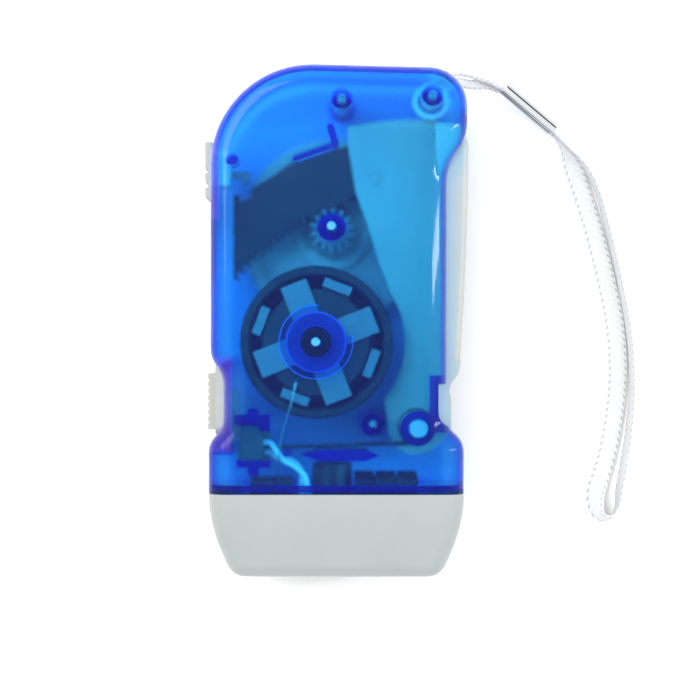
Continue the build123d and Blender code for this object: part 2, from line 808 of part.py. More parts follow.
rack_count = 16
tooth_step = 360 / rack_teeth
rack_first = gear_bearing - 2.5 * tooth_step
with BuildPart() as rack_sector:
    with BuildSketch(Plane.XY.offset(rack_z[0])):
        toothed(lever_pivot, rack_teeth, rack_module, rack_first, inside=True, count=rack_count)
        with Locations(lever_pivot):
            Circle(rack_back_r, mode=Mode.INTERSECT)
        with BuildLine():
            Polyline(
                (-22, 5), (-22, 42), (1.58, 42), butt_line[1], butt_line[0],
                (2.45, 23.6), (-5, 5), (-22, 5),
            )
        make_face(mode=Mode.INTERSECT)
    extrude(amount=rack_z[1] - rack_z[0])
    # catch and notch for the lock in the back of the rack, and the tongue under the web
    block((-22.0, -20.7), (23.5, 27.0), rack_z)
    with BuildSketch(Plane.XY.offset(rack_z[0])):
        with BuildLine():
            Polyline(
                (-20.7, 25.3), (-18.1, 26.4), (-18.1, 32.0), (-20.7, 32.0), (-20.7, 25.3)
            )
        make_face()
    extrude(amount=rack_z[1] - rack_z[0], mode=Mode.SUBTRACT)
    with BuildSketch(Plane.XY.offset(rack_z[0])):
        lap_face(0)
    extrude(amount=1.95)
    for place in rivet_places:
        disc(place, 0.85, 0, 20, Mode.SUBTRACT)
save(rack_sector.part, "rack_sector")

with BuildPart() as rack_rivets:
    for place in rivet_places:
        disc(place, 0.8, rack_z[0], rack_z[1] + 0.1)
        disc(place, 1.0, rack_z[1] + 0.02, rack_z[1] + 0.6)
save(rack_rivets.part, "rack_rivets")

# ---- return spring: one wire, a leg each way from its turns round the lever's sleeve ----------

spring_wire_r = 0.45
spring_r = 3.45
spring_pitch = 1.65
spring_z = 13.35
spring_start = -88.0
spring_turns = 4
spring_sweep = 360 * spring_turns + 88.0
spring_steps = 18
leg_long = 31.0


def spring_node(i):
    """Place and heading of the wire at one of the even steps round the turns."""
    angle = radians(spring_start + spring_sweep * i / spring_steps)
    share = max(0.0, min(1.0, (i - 1) / (spring_steps - 2)))
    rise = spring_pitch * (spring_turns + 88 / 360)
    level = i in (0, spring_steps)
    climb = 0 if level else rise / radians(spring_sweep) / spring_r
    place = Vector(
        lever_pivot.X + spring_r * cos(angle), lever_pivot.Y + spring_r * sin(angle),
        spring_z + rise * share,
    )
    return place, Vector(-sin(angle), cos(angle), climb).normalized()


def two_arcs(start, heading, end, arrival):
    """Two arcs, tangent to each other and to the headings given at both ends."""
    span = end - start
    both = heading + arrival
    square = 2 * (1 - heading.dot(arrival))
    reach = (-span.dot(both) + (span.dot(both) ** 2 + square * span.dot(span)) ** 0.5) / square
    first = start + heading * reach
    last = end - arrival * reach
    middle = (first + last) / 2
    TangentArc(start, middle, tangent=heading)
    TangentArc(middle, end, tangent=(last - first).normalized())


with BuildPart() as return_spring:
    with BuildLine() as spring_line:
        begin, heading = spring_node(0)
        Line(begin - heading * leg_long, begin)
        for i in range(spring_steps):
            here, heading = spring_node(i)
            there, arrival = spring_node(i + 1)
            two_arcs(here, heading, there, arrival)
        finish, heading = spring_node(spring_steps)
        Line(finish, finish + Vector(0, 9.0, 0))
        bend = TangentArc(
            finish + Vector(0, 9.0, 0), finish + Vector(0.9, 11.6, 0), tangent=(0, 1, 0)
        )
        Line(bend @ 1, bend @ 1 + (bend % 1) * 1.6)
    with BuildSketch(Plane(origin=spring_line.line @ 0, z_dir=spring_line.line % 0)):
        Circle(spring_wire_r)
    sweep(path=spring_line.wires()[0])
save(return_spring.part, "return_spring")


def least_gap(wire, wire_r, apart, count=500):
    """Least gap between stretches of one wire that are this far apart along it."""
    length = wire.length
    points = [wire.position_at(i / count) for i in range(count + 1)]
    skip = int(apart / length * count) + 1
    pairs = ((i, j) for i in range(count) for j in range(i + skip, count + 1))
    return min((points[i] - points[j]).length for i, j in pairs) - 2 * wire_r


print("spring gap", round(least_gap(spring_line.wires()[0], spring_wire_r, 12.0), 3))

# ---- lock slide, on the left wall near the strap end --------------------------------------------

lock_z = (9.0, 21.0)
with BuildPart() as lock_slider:
    block((-26.9, -26.2), (25.9, 37.6), lock_z)
    for low, high in ((31.9, 37.6), (29.1, 31.2), (25.9, 28.1)):
        block((-27.65, -26.9), (low, high), (lock_z[0] + 0.6, lock_z[1] - 0.6))
    fillet(lock_slider.edges().filter_by(lambda e: e.center().X < -27.6), 0.35)
    block((-26.2, -24.0), (30.9, 33.9), (parting_z - 1.5, parting_z + 1.5))
    block((-24.0, -23.5), (30.9, 33.9), (parting_z - 1.5, parting_z + 1.5))
    block((-23.5, -22.6), (28.6, 35.6), (9.2, 17.4))
    with BuildSketch(Plane.XY.offset(9.2)):
        with BuildLine():
            Polyline(
                (-23.0, 30.5), (-20.3, 30.5), (-20.3, 28.75), (-18.6, 29.95), (-18.6, 32.0),
                (-23.0, 32.0), (-23.0, 30.5),
            )
        make_face()
    extrude(amount=2.8)
save(lock_slider.part, "lock_slider")

# ---- lamp switch, in the recess on the left ---------------------------------------------------

bezel_y = (-23.6, -8.4)
bezel_x = -25.2
stem_slot_y = (-19.4, -12.8)
pad_z = (9.0, 21.0)
with BuildPart() as switch_bezel:
    with BuildSketch(Plane.YZ.offset(bezel_x)):
        with Locations(((bezel_y[0] + bezel_y[1]) / 2, parting_z)):
            RectangleRounded(bezel_y[1] - bezel_y[0], 17, 2)
    extrude(amount=4)
    with BuildSketch(Plane.XY):
        case_outline()
    extrude(amount=case_depth, mode=Mode.SUBTRACT)
    block((-30, -20), stem_slot_y, (parting_z - 2, parting_z + 2), Mode.SUBTRACT)
save(switch_bezel.part, "switch_bezel")

with BuildPart() as switch_slider:
    block((-27.0, -25.4), (-22.6, -10.9), pad_z)
    fillet(switch_slider.edges().filter_by(lambda e: e.center().X < -26.9), 0.4)
    for i in range(7):
        middle = -21.2 + 1.48 * i
        block((-28, -26.7), (middle - 0.3, middle + 0.3), (8, 22), Mode.SUBTRACT)
    block((-25.4, -21.4), (-18.9, -15.3), (parting_z - 1.7, parting_z + 1.7))
    block((-21.4, -20.45), (-25.4, -14.6), (parting_z - 1.7, parting_z + 1.7))
    block((-20.5, -18.8), (-25.4, -24.1), (parting_z - 1.7, parting_z + 1.7))
save(switch_slider.part, "switch_slider")

with BuildPart() as switch_body:
    block((-20.2, -15.4), (-28.6, -20.9), (switch_board_z[1], 20.2))
    fillet(switch_body.edges().filter_by(Axis.Z), 0.4)
    block((-20.3, -18.4), (-25.9, -21.6), (12.9, 17.1), Mode.SUBTRACT)
save(switch_body.part, "switch_body")

with BuildPart() as switch_board:
    block((-21.2, -14.4), (-29.2, -20.4), switch_board_z)
save(switch_board.part, "switch_board")

# ---- cords and wires ----------------------------------------------------------------------------


def tube(points, wire_r, name):
    """A tube of straight runs joined by tangent arcs as large as their two runs allow."""
    corners = [Vector(*point) for point in points]
    radii = []
    for before, corner, after in zip(corners, corners[1:], corners[2:]):
        run = min((corner - before).length, (after - corner).length)
        turn = radians((corner - before).get_angle(after - corner))
        radii.append(0.45 * run / tan(turn / 2))
    with BuildLine() as route_line:
        FilletPolyline(*corners, radius=radii)
    route = route_line.wires()[0]
    with BuildSketch(Plane(origin=route @ 0, z_dir=route % 0)) as face:
        Circle(wire_r)
    sweep(face.sketch, path=route)
    print(name, "length", round(route.length, 1), "section x length",
          round(pi * wire_r**2 * route.length, 1), "radii", [round(r, 1) for r in radii])
    return route


lead_r = 0.6
lead_routes = (
    ((-15.38, -25.4, 17.6), (-14.0, -25.4, 17.6), (-12.7, -26.9, 18.9), (-11.2, -29.2, 19.3),
     (-8.6, -30.4, 19.4), (-6.4, -32.4, 19.5), (-5.9, -36.0, 19.5),
     (-5.9, board_back + 0.05, 19.5)),
    ((-15.38, -27.6, 14.6), (-14.0, -27.6, 14.6), (-12.4, -29.0, 15.4), (-9.7, -29.0, 16.5),
     (-7.4, -30.9, 16.6), (-7.3, -34.7, 16.4), (-7.3, board_back + 0.05, 16.4)),
)
with BuildPart() as lead_wires:
    for i, points in enumerate(lead_routes):
        tube(points, lead_r, f"lead wire {i}")
save(lead_wires.part, "lead_wires")

enamel_r = 0.09
enamel_pitch = 0.3
with BuildPart() as coil_leads:
    for i in range(2):
        step = enamel_pitch * i
        tube(
            ((-8.3 + step, -11.4, 21.35), (-8.6 + step, -12.6, 23.2), (-9.6 + step, -17.6, 23.4),
             (-11.6 + step, -23.2, 21.4), (-12.3 + step, -28.8, 20.7),
             (-12.5 + step, -33.4, 19.0)),
            enamel_r, f"coil lead {i}",
        )
save(coil_leads.part, "coil_leads")

cord_r = 0.8
strap_route = (
    (20.99, 49.88, 15.05), (23.5, 53.74, 15.1), (30.1, 53.45, 10.3), (35.68, 52.10, 6.37),
    (49.95, 40.87, 2.80), (56.8, 31.8, 1.7), (59.9, 20.3, 0.85), (62.6, 8.5, 0.85),
    (64.7, -3.2, 0.85), (65.3, -15.0, 0.85), (64.2, -26.0, 0.85), (62.9, -33.2, 0.85),
    (62.2, -37.3, 0.85), (61.8, -41.1, 0.85), (60.6, -43.1, 0.85), (58.2, -43.0, 0.85),
    (57.0, -41.0, 0.85), (56.9, -37.2, 0.85), (59.3, -31.0, 0.85), (61.5, -19.9, 0.85),
    (62.2, -9.0, 0.85), (61.2, 1.5, 0.85), (58.9, 11.8, 0.85), (56.3, 22.0, 0.85),
    (53.2, 31.5, 0.85), (49.67, 41.09, 1.04), (35.40, 52.32, 4.61), (28.7, 51.4, 8.3),
    (24.29, 51.5, 14.75), (22.56, 48.84, 14.95),
)
with BuildPart() as strap_cord:
    strap_line = tube(strap_route, cord_r, "strap cord")
save(strap_cord.part, "strap_cord")
print("strap gap", round(least_gap(strap_line, cord_r, 14.0, 900), 3))
print("strap lowest", round(strap_cord.part.bounding_box().min.Z, 3))

ferrule_from = Vector(36.7, 51.3, 5.2)
ferrule_to = Vector(47.5, 42.8, 2.5)
ferrule_size = (3.0, 4.0)
with BuildPart() as strap_ferrule:
    along = (ferrule_to - ferrule_from).normalized()
    across = Vector(0, 0, 1).cross(along).normalized()
    with BuildSketch(Plane(origin=ferrule_from, x_dir=across, z_dir=along)):
        RectangleRounded(ferrule_size[0], ferrule_size[1], 1.45)
        RectangleRounded(1.58, 3.34, 0.78, mode=Mode.SUBTRACT)
    extrude(amount=(ferrule_to - ferrule_from).length)
save(strap_ferrule.part, "strap_ferrule")

with BuildPart() as strap_knot:
    with BuildSketch(Plane(origin=(strap_post.X, strap_post.Y, parting_z), x_dir=(1, 0, 0),
                           z_dir=(0, -1, 0))):
        with Locations((3.15, 0)):
            Circle(cord_r)
    revolve(axis=Axis((strap_post.X, strap_post.Y, 0), (0, 0, 1)))
save(strap_knot.part, "strap_knot")

# ---- screws from the back ----------------------------------------------------------------------

with BuildPart() as case_screws:
    for place in screw_places:
        disc(place, 2.0, 1.4, screw_head_z)
        disc(place, screw_r, screw_head_z, screw_top)
    chamfer(case_screws.edges().group_by(Axis.Z)[-1], 0.4)
    for place in screw_places:
        for size in ((2.4, 0.5), (0.5, 2.4)):
            x = (place.X - size[0] / 2, place.X + size[0] / 2)
            y = (place.Y - size[1] / 2, place.Y + size[1] / 2)
            block(x, y, (0, 2.2), Mode.SUBTRACT)
save(case_screws.part, "case_screws")
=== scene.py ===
import math

import bpy
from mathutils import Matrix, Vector


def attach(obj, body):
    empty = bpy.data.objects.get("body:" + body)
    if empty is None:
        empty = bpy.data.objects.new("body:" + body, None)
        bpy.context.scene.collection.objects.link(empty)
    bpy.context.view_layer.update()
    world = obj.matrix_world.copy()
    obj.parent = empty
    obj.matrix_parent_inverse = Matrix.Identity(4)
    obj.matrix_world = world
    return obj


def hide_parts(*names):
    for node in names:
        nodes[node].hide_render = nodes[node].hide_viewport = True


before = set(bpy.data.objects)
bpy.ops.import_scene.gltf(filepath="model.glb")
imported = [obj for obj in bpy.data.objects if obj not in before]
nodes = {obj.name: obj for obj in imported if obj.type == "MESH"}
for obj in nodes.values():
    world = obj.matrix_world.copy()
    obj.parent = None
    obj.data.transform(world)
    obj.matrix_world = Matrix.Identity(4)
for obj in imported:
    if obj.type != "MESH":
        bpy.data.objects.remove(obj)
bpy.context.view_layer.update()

# ---- view and light -----------------------------------------------------------------------------
# A straight-down product view on a white table. The camera is 380 mm over the table, and two broad
# soft lights and a white surround give the even light and the thin highlights along the edges.

camera_data = bpy.data.cameras.new("camera")
camera_data.lens = 88.18
camera_data.sensor_width = 36.0
camera_data.clip_start = 0.01
camera = bpy.data.objects.new("camera", camera_data)
camera_height = 0.380
camera.location = (0.0028, -0.0060, camera_height)
bpy.context.scene.collection.objects.link(camera)
bpy.context.scene.camera = camera
bpy.context.scene.view_settings.view_transform = "Standard"


def linear(colour):
    """An sRGB colour written as hex, as linear red, green, blue and alpha."""
    parts = [int(colour[i:i + 2], 16) / 255 for i in (0, 2, 4)]
    return [c / 12.92 if c <= 0.04045 else ((c + 0.055) / 1.055) ** 2.4 for c in parts] + [1.0]


def softbox(name, place, aim, size, watts, colour):
    """A rectangular area light that looks at a point."""
    data = bpy.data.lights.new(name, "AREA")
    data.shape = "RECTANGLE"
    data.size, data.size_y = size
    data.energy = watts
    data.color = linear(colour)[:3]
    lamp = bpy.data.objects.new(name, data)
    lamp.location = place
    lamp.rotation_euler = (Vector(aim) - Vector(place)).to_track_quat("-Z", "Y").to_euler()
    bpy.context.scene.collection.objects.link(lamp)


softbox("key_softbox", (-0.35, 0.30, 0.62), (0, 0, 0), (0.45, 0.45), 3.7, "fffdf8")
softbox("fill_softbox", (0.50, 0.05, 0.40), (0, 0, 0.02), (0.03, 0.50), 1.3, "f6faff")

world = bpy.data.worlds.new("surround")
world.use_nodes = True
surround = world.node_tree.nodes["Background"]
surround.inputs["Strength"].default_value = 1.17
bpy.context.scene.world = world


def add(tree, kind, links=None, **settings):
    """A node with its settings, and its inputs set to values or linked from sockets."""
    made = tree.nodes.new(kind)
    for name, value in settings.items():
        setattr(made, name, value)
    for name, value in (links or {}).items():
        if isinstance(value, bpy.types.NodeSocket):
            tree.links.new(value, made.inputs[name])
        else:
            made.inputs[name].default_value = value
    return made


# the surround is white but for a dimmer opening overhead that the camera looks through: from 7
# degrees off the vertical it darkens, and it is at its darkest within 4.5 degrees
opening_z = (0.992, 0.997)
opening_light = 0.55
tree = world.node_tree
aim = add(tree, "ShaderNodeTexCoord")
up = add(tree, "ShaderNodeSeparateXYZ", {"Vector": aim.outputs["Generated"]})
opening = add(tree, "ShaderNodeMapRange",
              {"Value": up.outputs["Z"], "From Min": opening_z[0], "From Max": opening_z[1],
               "To Min": 1.0, "To Max": opening_light})
tree.links.new(opening.outputs[0], surround.inputs["Color"])


def new_material(name):
    """An empty node material, its tree and its output node."""
    made = bpy.data.materials.new(name)
    made.use_nodes = True
    made.node_tree.nodes.clear()
    return made, made.node_tree, made.node_tree.nodes.new("ShaderNodeOutputMaterial")


# the table lies a hair under the case's flat back, so that no two faces coincide
table_half = 3
table_z = -0.00003
floor_mesh = bpy.data.meshes.new("table_top")
table_corners = [(x * table_half, y * table_half, table_z)
                 for x, y in ((-1, -1), (1, -1), (1, 1), (-1, 1))]
floor_mesh.from_pydata(table_corners, [], [(0, 1, 2, 3)])
floor = bpy.data.objects.new("table_top", floor_mesh)
bpy.context.scene.collection.objects.link(floor)
table_white, tree, output = new_material("matt_white_laminate")
table = add(tree, "ShaderNodeBsdfPrincipled", {"Base Color": linear("fbfbfb"), "Roughness": 0.9,
                                               "Specular IOR Level": 0.1})
tree.links.new(table.outputs[0], output.inputs["Surface"])
floor_mesh.materials.append(table_white)

# ---- case ---------------------------------------------------------------------------------------
# Two injection moulded shells of clear blue polycarbonate with polished outer faces, screwed
# together from the back. The colour is in the plastic, so ribs, bosses and walls seen along their
# length look deeper than the thin face.

clear_blue, tree, output = new_material("polished_clear_blue_polycarbonate")
place = add(tree, "ShaderNodeTexCoord")
# faint flow lines of the moulding, and fine scuffs in the polish
flow = add(tree, "ShaderNodeTexNoise", {"Vector": place.outputs["Object"], "Scale": 45.0,
                                        "Detail": 2.0, "Distortion": 1.2})
scuff = add(tree, "ShaderNodeTexNoise", {"Vector": place.outputs["Object"], "Scale": 900.0,
                                         "Detail": 4.0, "Roughness": 0.7})
gloss = add(tree, "ShaderNodeMapRange", {"Value": scuff.outputs[0], "From Min": 0.45,
                                         "From Max": 0.85, "To Min": 0.05, "To Max": 0.16})
wave = add(tree, "ShaderNodeBump", {"Height": flow.outputs[0], "Strength": 0.02,
                                    "Distance": 0.0001})
tint = add(tree, "ShaderNodeMix",
           {"Factor": flow.outputs[0], 6: (0.94, 0.985, 1.0, 1.0), 7: (0.97, 0.995, 1.0, 1.0)},
           data_type="RGBA")
clear = add(tree, "ShaderNodeBsdfTransparent", {"Color": tint.outputs[2]})
# painted shade: the cut ends of ribs, bosses and walls are painted violet, the shade they take on
# as the light runs down them. They face down, above the joint of the shells and under the inside
# of the front wall.
ends_z = (0.0149, 0.0275)
faces_down = -0.9
facts = add(tree, "ShaderNodeNewGeometry")
facing = add(tree, "ShaderNodeSeparateXYZ", {"Vector": facts.outputs["True Normal"]})
height = add(tree, "ShaderNodeSeparateXYZ", {"Vector": place.outputs["Object"]})
back = add(tree, "ShaderNodeMath", {0: facts.outputs["Backfacing"], 1: -2.0, 2: 1.0},
           operation="MULTIPLY_ADD")
outward = add(tree, "ShaderNodeMath", {0: facing.outputs["Z"], 1: back.outputs[0]},
              operation="MULTIPLY")
down = add(tree, "ShaderNodeMath", {0: outward.outputs[0], 1: faces_down},
           operation="LESS_THAN")
above = add(tree, "ShaderNodeMath", {0: height.outputs["Z"], 1: ends_z[0]},
            operation="GREATER_THAN")
below = add(tree, "ShaderNodeMath", {0: height.outputs["Z"], 1: ends_z[1]},
            operation="LESS_THAN")
inside = add(tree, "ShaderNodeMath", {0: above.outputs[0], 1: below.outputs[0]},
             operation="MULTIPLY")
# the stepped hub over the flywheel is thin and open, and gets much less of the painted shade
flywheel_centre = (-0.00424, -0.00434, 0)
hub_edge = (0.0078, 0.0082)
hub_share = 0.06
flat = add(tree, "ShaderNodeVectorMath", {0: place.outputs["Object"], 1: (1, 1, 0)},
           operation="MULTIPLY")
hub = add(tree, "ShaderNodeVectorMath", {0: flat.outputs[0], 1: flywheel_centre},
          operation="DISTANCE")
solid = add(tree, "ShaderNodeMapRange", {"Value": hub.outputs["Value"], "From Min": hub_edge[0],
                                         "From Max": hub_edge[1], "To Min": hub_share})
gathered = add(tree, "ShaderNodeMath", {0: inside.outputs[0], 1: down.outputs[0]},
               operation="MULTIPLY")
ends = add(tree, "ShaderNodeMath", {0: gathered.outputs[0], 1: solid.outputs[0]},
           operation="MULTIPLY")
# painted shade: the side wall where a grey slide shuts the light out is painted violet as well:
# inner side of the wall, middle and half length of the zone beside the lock and beside the switch
beside_slides = ((-0.0240, 0.0293, 0.0086), (-0.0214, -0.0172, 0.0097))
slide_share = 0.30
zones = []
for wall_x, middle_y, half_y in beside_slides:
    past = add(tree, "ShaderNodeMath", {0: height.outputs["X"], 1: wall_x},
               operation="LESS_THAN")
    along = add(tree, "ShaderNodeMath", {0: height.outputs["Y"], 1: middle_y},
                operation="SUBTRACT")
    near = add(tree, "ShaderNodeMath", {0: along.outputs[0]}, operation="ABSOLUTE")
    beside = add(tree, "ShaderNodeMath", {0: near.outputs[0], 1: half_y},
                 operation="LESS_THAN")
    zone = add(tree, "ShaderNodeMath", {0: past.outputs[0], 1: beside.outputs[0]},
               operation="MULTIPLY")
    zones.append(zone)
either = add(tree, "ShaderNodeMath", {0: zones[0].outputs[0], 1: zones[1].outputs[0]},
             operation="ADD")
painted_slide_shade = add(tree, "ShaderNodeMath", {0: either.outputs[0], 1: slide_share},
           operation="MULTIPLY")
# the painted violet shade of the cut ends and of the walls beside the slides
painted_violet_shade = add(tree, "ShaderNodeMath", {0: ends.outputs[0], 1: painted_slide_shade.outputs[0]},
              operation="MAXIMUM")
# light bends as it enters the polished front, which thins the dark line of the side walls. The
# index is well under that of the plastic itself, matched so that deep pieces shift little.
bend_index = 1.20
outer = add(tree, "ShaderNodeMath", {0: 1.0, 1: facts.outputs["Backfacing"]},
            operation="SUBTRACT")
front = add(tree, "ShaderNodeMath", {0: outer.outputs[0], 1: above.outputs[0]},
            operation="MULTIPLY")
ray = add(tree, "ShaderNodeLightPath")
seen = add(tree, "ShaderNodeMath", {0: 1.0, 1: ray.outputs["Is Shadow Ray"]},
           operation="SUBTRACT")
bent = add(tree, "ShaderNodeMath", {0: front.outputs[0], 1: seen.outputs[0]},
           operation="MULTIPLY")
# the inner face is lightly textured, so what lies deep behind it is softer than what lies close.
# The texture is too fine to model: the normal is scattered by this share where light enters.
scatter = (0.32, 0.32, 0.32)
satin = add(tree, "ShaderNodeTexWhiteNoise", {"Vector": place.outputs["Object"]})
speck = add(tree, "ShaderNodeVectorMath", {0: satin.outputs["Color"], 1: (0.5, 0.5, 0.5)},
            operation="SUBTRACT")
frost = add(tree, "ShaderNodeVectorMath", {0: speck.outputs[0], 1: scatter,
                                           2: facts.outputs["Normal"]},
            operation="MULTIPLY_ADD")
level = add(tree, "ShaderNodeVectorMath", {0: frost.outputs[0]}, operation="NORMALIZE")
bend = add(tree, "ShaderNodeBsdfRefraction", {"Color": tint.outputs[2], "Roughness": 0.03,
                                              "IOR": bend_index, "Normal": level.outputs[0]})
through = add(tree, "ShaderNodeMixShader", {0: bent.outputs[0], 1: clear.outputs[0],
                                            2: bend.outputs[0]})
# painted shade: the body blue turns violet where the painted violet shade lies
shade = add(tree, "ShaderNodeMix",
            {"Factor": painted_violet_shade.outputs[0], 6: linear("2a5cf0"), 7: linear("9a2c86")},
            data_type="RGBA")
# painted highlight: thin pale rings painted at the sharp corners of the hub's two steps and of its
# bore, where they would catch the light
hub_corners = (0.00762, 0.00619, 0.00331)
corner_line = 0.00009
rings = 0.0
for radius in hub_corners:
    ring_line = add(tree, "ShaderNodeMath", {0: hub.outputs["Value"], 1: radius, 2: corner_line},
                    operation="COMPARE")
    total_rings = add(tree, "ShaderNodeMath", {0: ring_line.outputs[0], 1: rings},
                      operation="ADD")
    rings = total_rings.outputs[0]
# painted highlight: the rings, on the downward cut ends only, in a pale blue
painted_ring_highlight = add(tree, "ShaderNodeMath", {0: rings, 1: gathered.outputs[0]}, operation="MULTIPLY")
bright = add(tree, "ShaderNodeMix",
             {"Factor": painted_ring_highlight.outputs[0], 6: shade.outputs[2], 7: linear("b4c4ff")},
             data_type="RGBA")
# the body is milky by this share, and much more so where the painted shade and highlight lie
clear_share = 0.035
end_share = 0.75
painted_shade_and_highlight = add(tree, "ShaderNodeMath", {0: painted_violet_shade.outputs[0], 1: painted_ring_highlight.outputs[0]},
           operation="MAXIMUM")
cloud = add(tree, "ShaderNodeMapRange", {"Value": painted_shade_and_highlight.outputs[0], "To Min": clear_share,
                                         "To Max": end_share})
body = add(tree, "ShaderNodeBsdfPrincipled", {"Base Color": bright.outputs[2],
                                              "Roughness": gloss.outputs[0],
                                              "Normal": wave.outputs[0],
                                              "Specular IOR Level": 0.0})
milky = add(tree, "ShaderNodeMixShader", {0: cloud.outputs[0], 1: through.outputs[0],
                                          2: body.outputs[0]})
shine = add(tree, "ShaderNodeBsdfGlossy", {"Color": (1, 1, 1, 1), "Roughness": gloss.outputs[0],
                                           "Normal": wave.outputs[0]})
edge = add(tree, "ShaderNodeFresnel", {"IOR": 1.50, "Normal": wave.outputs[0]})
# the even surround is hardly seen in the polished face, only along its turned edges
flat_glare = 0.026
rim = add(tree, "ShaderNodeMapRange", {"Value": edge.outputs[0], "From Min": flat_glare,
                                       "From Max": 1.0, "To Min": 0.0, "To Max": 1.0})
polish = add(tree, "ShaderNodeMath", {0: rim.outputs[0], 1: outer.outputs[0]},
             operation="MULTIPLY")
skin = add(tree, "ShaderNodeMixShader", {0: polish.outputs[0], 1: milky.outputs[0],
                                         2: shine.outputs[0]})
tree.links.new(skin.outputs[0], output.inputs["Surface"])
# a wall of 1.8 mm lets through about 24 % of the red, 75 % of the green and 99 % of the blue
dye = add(tree, "ShaderNodeVolumeAbsorption", {"Color": (0.0, 0.80, 0.99, 1.0),
                                               "Density": 800.0})
tree.links.new(dye.outputs[0], output.inputs["Volume"])


def dress(material, *names):
    """Gives CAD nodes their material."""
    for name in names:
        mesh = nodes[name].data
        mesh.materials.clear()
        mesh.materials.append(material)


dress(clear_blue, "front_shell", "back_shell")

# ---- lamp head and the outer grey parts ----------------------------------------------------------
# The lamp cap, the squeeze lever and the lock slide are opaque pale grey ABS from a spark eroded
# mould: a fine even grain, satin rather than glossy, with a slight mottle from the regrind.


def moulded(name, colour, deep, grain_mm, rough, grain_depth=0.00002, mottle_mm=9.0):
    """An opaque moulded plastic with an eroded grain, a slow mottle and handling marks."""
    made, tree, output = new_material(name)
    place = add(tree, "ShaderNodeTexCoord")
    mottle = add(tree, "ShaderNodeTexNoise", {"Vector": place.outputs["Object"],
                                              "Scale": 1000 / mottle_mm, "Detail": 4.0})
    grain = add(tree, "ShaderNodeTexVoronoi", {"Vector": place.outputs["Object"],
                                               "Scale": 1000 / grain_mm}, feature="SMOOTH_F1")
    wear = add(tree, "ShaderNodeTexNoise", {"Vector": place.outputs["Object"], "Scale": 380.0,
                                            "Detail": 6.0, "Roughness": 0.7})
    tone = add(tree, "ShaderNodeMix",
               {"Factor": mottle.outputs[0], 6: linear(deep), 7: linear(colour)},
               data_type="RGBA")
    satin = add(tree, "ShaderNodeMapRange", {"Value": wear.outputs[0], "From Min": 0.3,
                                             "From Max": 0.7, "To Min": rough - 0.07,
                                             "To Max": rough + 0.07})
    bump = add(tree, "ShaderNodeBump", {"Height": grain.outputs[0], "Strength": 0.35,
                                        "Distance": grain_depth})
    shader = add(tree, "ShaderNodeBsdfPrincipled", {"Base Color": tone.outputs[2],
                                                    "Roughness": satin.outputs[0],
                                                    "Normal": bump.outputs[0]})
    tree.links.new(shader.outputs[0], output.inputs["Surface"])
    return made


dress(moulded("satin_grey_abs_eroded", "9ca3a3", "959c9b", 0.18, 0.42), "head_cap")
dress(moulded("satin_pale_grey_abs_eroded", "aeb0a9", "a6a9a2", 0.18, 0.42),
      "lever", "switch_slider")
# the lock slide is clipped to a pale inner plate, with a dark tooth where it meets the rack
plate_x = (-0.0262, -0.0255)
tooth_x = (-0.0227, -0.0222)
lock_grey = moulded("satin_grey_abs_with_black_tooth", "aeb0a9", "a6a9a2", 0.18, 0.42)
tree = lock_grey.node_tree
shader = next(n for n in tree.nodes if n.type == "BSDF_PRINCIPLED")
place = add(tree, "ShaderNodeTexCoord")
across = add(tree, "ShaderNodeSeparateXYZ", {"Vector": place.outputs["Object"]})
plate = add(tree, "ShaderNodeMapRange", {"Value": across.outputs["X"], "From Min": plate_x[0],
                                         "From Max": plate_x[1]})
own_shade = shader.inputs["Base Color"].links[0].from_socket
pale = add(tree, "ShaderNodeMix",
           {"Factor": plate.outputs[0], 6: own_shade, 7: linear("dfe3e6")},
           data_type="RGBA")
foot = add(tree, "ShaderNodeMapRange", {"Value": across.outputs["X"], "From Min": tooth_x[0],
                                        "From Max": tooth_x[1]})
tone = add(tree, "ShaderNodeMix",
           {"Factor": foot.outputs[0], 6: pale.outputs[2], 7: linear("66717b")},
           data_type="RGBA")
tree.links.new(tone.outputs[2], shader.inputs["Base Color"])
dress(lock_grey, "lock_slider")
dress(moulded("satin_cream_abs", "b9b6a8", "b0ad9e", 0.2, 0.5), "switch_bezel")

# ---- lamp ---------------------------------------------------------------------------------------
# A clear window, a vacuum metallised reflector plate with a cup round each LED, and a small board
# that carries the LEDs. The LEDs are clear epoxy with the bullet nose they are cast with.

lens_clear, tree, output = new_material("clear_polystyrene_window")
place = add(tree, "ShaderNodeTexCoord")
haze = add(tree, "ShaderNodeTexNoise", {"Vector": place.outputs["Object"], "Scale": 300.0,
                                        "Detail": 5.0})
dull = add(tree, "ShaderNodeMapRange", {"Value": haze.outputs[0], "From Min": 0.4,
                                        "From Max": 0.8, "To Min": 0.03, "To Max": 0.12})
through = add(tree, "ShaderNodeBsdfTransparent", {"Color": (0.96, 0.975, 0.98, 1.0)})
shine = add(tree, "ShaderNodeBsdfGlossy", {"Roughness": dull.outputs[0]})
edge = add(tree, "ShaderNodeFresnel", {"IOR": 1.55})
pane = add(tree, "ShaderNodeMixShader", {0: edge.outputs[0], 1: through.outputs[0],
                                         2: shine.outputs[0]})
tree.links.new(pane.outputs[0], output.inputs["Surface"])
dress(lens_clear, "lens")


